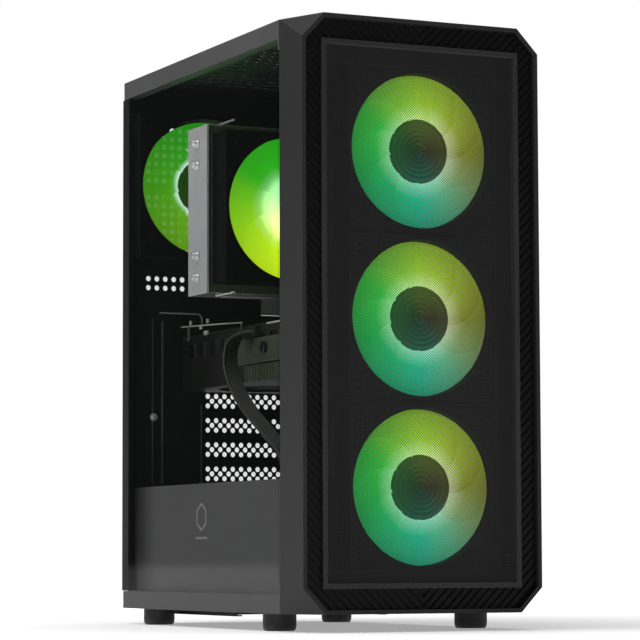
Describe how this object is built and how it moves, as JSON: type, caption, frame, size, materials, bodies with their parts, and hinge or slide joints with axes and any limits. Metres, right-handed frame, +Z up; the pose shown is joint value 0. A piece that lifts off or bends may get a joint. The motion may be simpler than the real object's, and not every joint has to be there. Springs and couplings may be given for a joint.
{
  "type": "desktop computer tower",
  "caption": "Upright desktop computer with a mesh front and facet-cornered bezel, lit fans, tinted glass side and working covers, buttons and fans.",
  "frame": {"origin": "on the floor under the middle of the bounding box", "axes": "+Z up, the mesh front faces -Y, the glass side faces -X"},
  "size_m": [0.195, 0.3644, 0.4496],
  "materials": {
    "black_steel": "satin powder coat",
    "grey_steel": "satin powder coat",
    "black_plastic": "fine texture",
    "rim_plastic": "satin",
    "mesh_steel": "satin",
    "zinc": "plated",
    "rubber": "matte",
    "tinted_glass": "tinted, polished",
    "fan_plastic": "fine texture",
    "fan_green": "translucent, lit",
    "fan_black": "satin",
    "aluminium": "brushed",
    "nickel": "nickel plated",
    "circuit": "solder mask",
    "socket_plastic": "moulded",
    "dark_sink": "anodised",
    "gpu_plastic": "satin",
    "cable": "soft sleeve",
    "inlet_plastic": "moulded",
    "switch_plastic": "moulded",
    "button_plastic": "satin",
    "emblem": "satin",
    "black_screw": "black zinc"
  },
  "bodies": {
    "chassis": {"chassis_floor": "black_steel", "frame_rails": "grey_steel", "feet": "rubber", "motherboard_tray": "black_steel", "front_wall": "black_steel", "top_panel": "black_steel", "psu_shroud": "grey_steel", "shroud_emblem": "emblem", "rear_panel": "black_steel", "slot_brackets": "black_steel", "rear_ports": "zinc", "front_fan_frame_top": "fan_plastic", "front_fan_frame_middle": "fan_plastic", "front_fan_frame_bottom": "fan_plastic", "rear_fan_frame": "fan_plastic", "cooler_fan_frame": "fan_plastic", "io_panel": "black_plastic", "io_ports": "nickel", "motherboard": "circuit", "board_sockets": "socket_plastic", "memory_modules": "dark_sink", "board_heatsinks": "dark_sink", "cooler_fins": "aluminium", "cooler_cap": "aluminium", "cooler_heat_pipes": "nickel", "cooler_base": "nickel", "cooler_fan_clips": "zinc", "gpu_board": "circuit", "gpu_backplate": "gpu_plastic", "gpu_shroud": "gpu_plastic", "gpu_heatsink": "aluminium", "gpu_power_cable": "cable", "psu_case": "black_steel", "psu_inlet": "inlet_plastic", "drive_cage": "black_steel", "fan_screws": "black_screw"},
    "bezel": {"front_bezel": "black_plastic", "bezel_ribs": "black_plastic", "mesh_rim": "rim_plastic", "front_mesh": "mesh_steel"},
    "front_fan_top": {"front_fan_rotor_top": "fan_green"},
    "front_fan_middle": {"front_fan_rotor_middle": "fan_green"},
    "front_fan_bottom": {"front_fan_rotor_bottom": "fan_green"},
    "rear_fan": {"rear_fan_rotor": "fan_green"},
    "cooler_fan": {"cooler_fan_rotor": "fan_green"},
    "gpu_fan_front": {"gpu_fan_rotor_front": "fan_black"},
    "gpu_fan_rear": {"gpu_fan_rotor_rear": "fan_black"},
    "psu_fan": {"psu_fan_rotor": "fan_black"},
    "power": {"power_button": "button_plastic"},
    "reset": {"reset_button": "button_plastic"},
    "supply_switch": {"psu_switch": "switch_plastic"},
    "glass_side": {"glass_panel": "tinted_glass", "glass_flange": "grey_steel"},
    "glass_screw_top": {"thumbscrew_left_top": "black_screw"},
    "glass_screw_bottom": {"thumbscrew_left_bottom": "black_screw"},
    "steel_side": {"right_side_panel": "black_steel"},
    "steel_screw_top": {"thumbscrew_right_top": "black_screw"},
    "steel_screw_bottom": {"thumbscrew_right_bottom": "black_screw"},
    "top_filter": {"top_dust_filter": "black_plastic"},
    "bottom_filter": {"psu_dust_filter": "black_plastic"}
  },
  "joints": [
    {"name": "front_fan_top_spin", "type": "hinge", "parent": "chassis", "child": "front_fan_top", "pos_m": [0.003, -0.1723, 0.353], "axis": [0, 1, 0], "continuous": true},
    {"name": "front_fan_middle_spin", "type": "hinge", "parent": "chassis", "child": "front_fan_middle", "pos_m": [0.003, -0.1723, 0.229], "axis": [0, 1, 0], "continuous": true},
    {"name": "front_fan_bottom_spin", "type": "hinge", "parent": "chassis", "child": "front_fan_bottom", "pos_m": [0.003, -0.1723, 0.105], "axis": [0, 1, 0], "continuous": true},
    {"name": "rear_fan_spin", "type": "hinge", "parent": "chassis", "child": "rear_fan", "pos_m": [-0.033, 0.1567, 0.362], "axis": [0, 1, 0], "continuous": true},
    {"name": "cooler_fan_spin", "type": "hinge", "parent": "chassis", "child": "cooler_fan", "pos_m": [-0.0171, 0.0137, 0.329], "axis": [0, 1, 0], "continuous": true},
    {"name": "gpu_fan_front_spin", "type": "hinge", "parent": "chassis", "child": "gpu_fan_front", "pos_m": [0.00765, -0.01765, 0.198], "axis": [0, 0, 1], "continuous": true},
    {"name": "gpu_fan_rear_spin", "type": "hinge", "parent": "chassis", "child": "gpu_fan_rear", "pos_m": [0.00765, 0.10685, 0.198], "axis": [0, 0, 1], "continuous": true},
    {"name": "psu_fan_spin", "type": "hinge", "parent": "chassis", "child": "psu_fan", "pos_m": [-0.003, 0.1017, 0.0242], "axis": [0, 0, 1], "continuous": true},
    {"name": "power_press", "type": "slide", "parent": "chassis", "child": "power", "axis": [0, 0, -1], "range_m": [0, 0.0015], "stiffness_N_per_m": 600, "springref_m": -0.0008},
    {"name": "reset_press", "type": "slide", "parent": "chassis", "child": "reset", "axis": [0, 0, -1], "range_m": [0, 0.0015], "stiffness_N_per_m": 600, "springref_m": -0.0008},
    {"name": "supply_switch_rock", "type": "hinge", "parent": "chassis", "child": "supply_switch", "pos_m": [0.038, 0.1672, 0.07956], "axis": [1, 0, 0], "range_deg": [-9, 9]},
    {"name": "glass_slide", "type": "slide", "parent": "chassis", "child": "glass_side", "axis": [0, 1, 0], "range_m": [0, 0.32]},
    {"name": "steel_side_slide", "type": "slide", "parent": "chassis", "child": "steel_side", "axis": [0, 1, 0], "range_m": [0, 0.32]},
    {"name": "glass_screw_top_turn", "type": "hinge", "parent": "glass_side", "child": "glass_screw_top", "pos_m": [-0.089, 0.1777, 0.4277], "axis": [0, 1, 0], "continuous": true},
    {"name": "glass_screw_bottom_turn", "type": "hinge", "parent": "glass_side", "child": "glass_screw_bottom", "pos_m": [-0.089, 0.1777, 0.0343], "axis": [0, 1, 0], "continuous": true},
    {"name": "steel_screw_top_turn", "type": "hinge", "parent": "steel_side", "child": "steel_screw_top", "pos_m": [0.089, 0.1777, 0.4277], "axis": [0, 1, 0], "continuous": true},
    {"name": "steel_screw_bottom_turn", "type": "hinge", "parent": "steel_side", "child": "steel_screw_bottom", "pos_m": [0.089, 0.1777, 0.0343], "axis": [0, 1, 0], "continuous": true},
    {"name": "bezel_pull", "type": "slide", "parent": "chassis", "child": "bezel", "axis": [0, -1, 0], "range_m": [0, 0.08]},
    {"name": "top_filter_lift", "type": "slide", "parent": "chassis", "child": "top_filter", "axis": [0, 0, 1], "range_m": [0, 0.06]},
    {"name": "bottom_filter_slide", "type": "slide", "parent": "chassis", "child": "bottom_filter", "axis": [0, 1, 0], "range_m": [0, 0.16]}
  ]
}
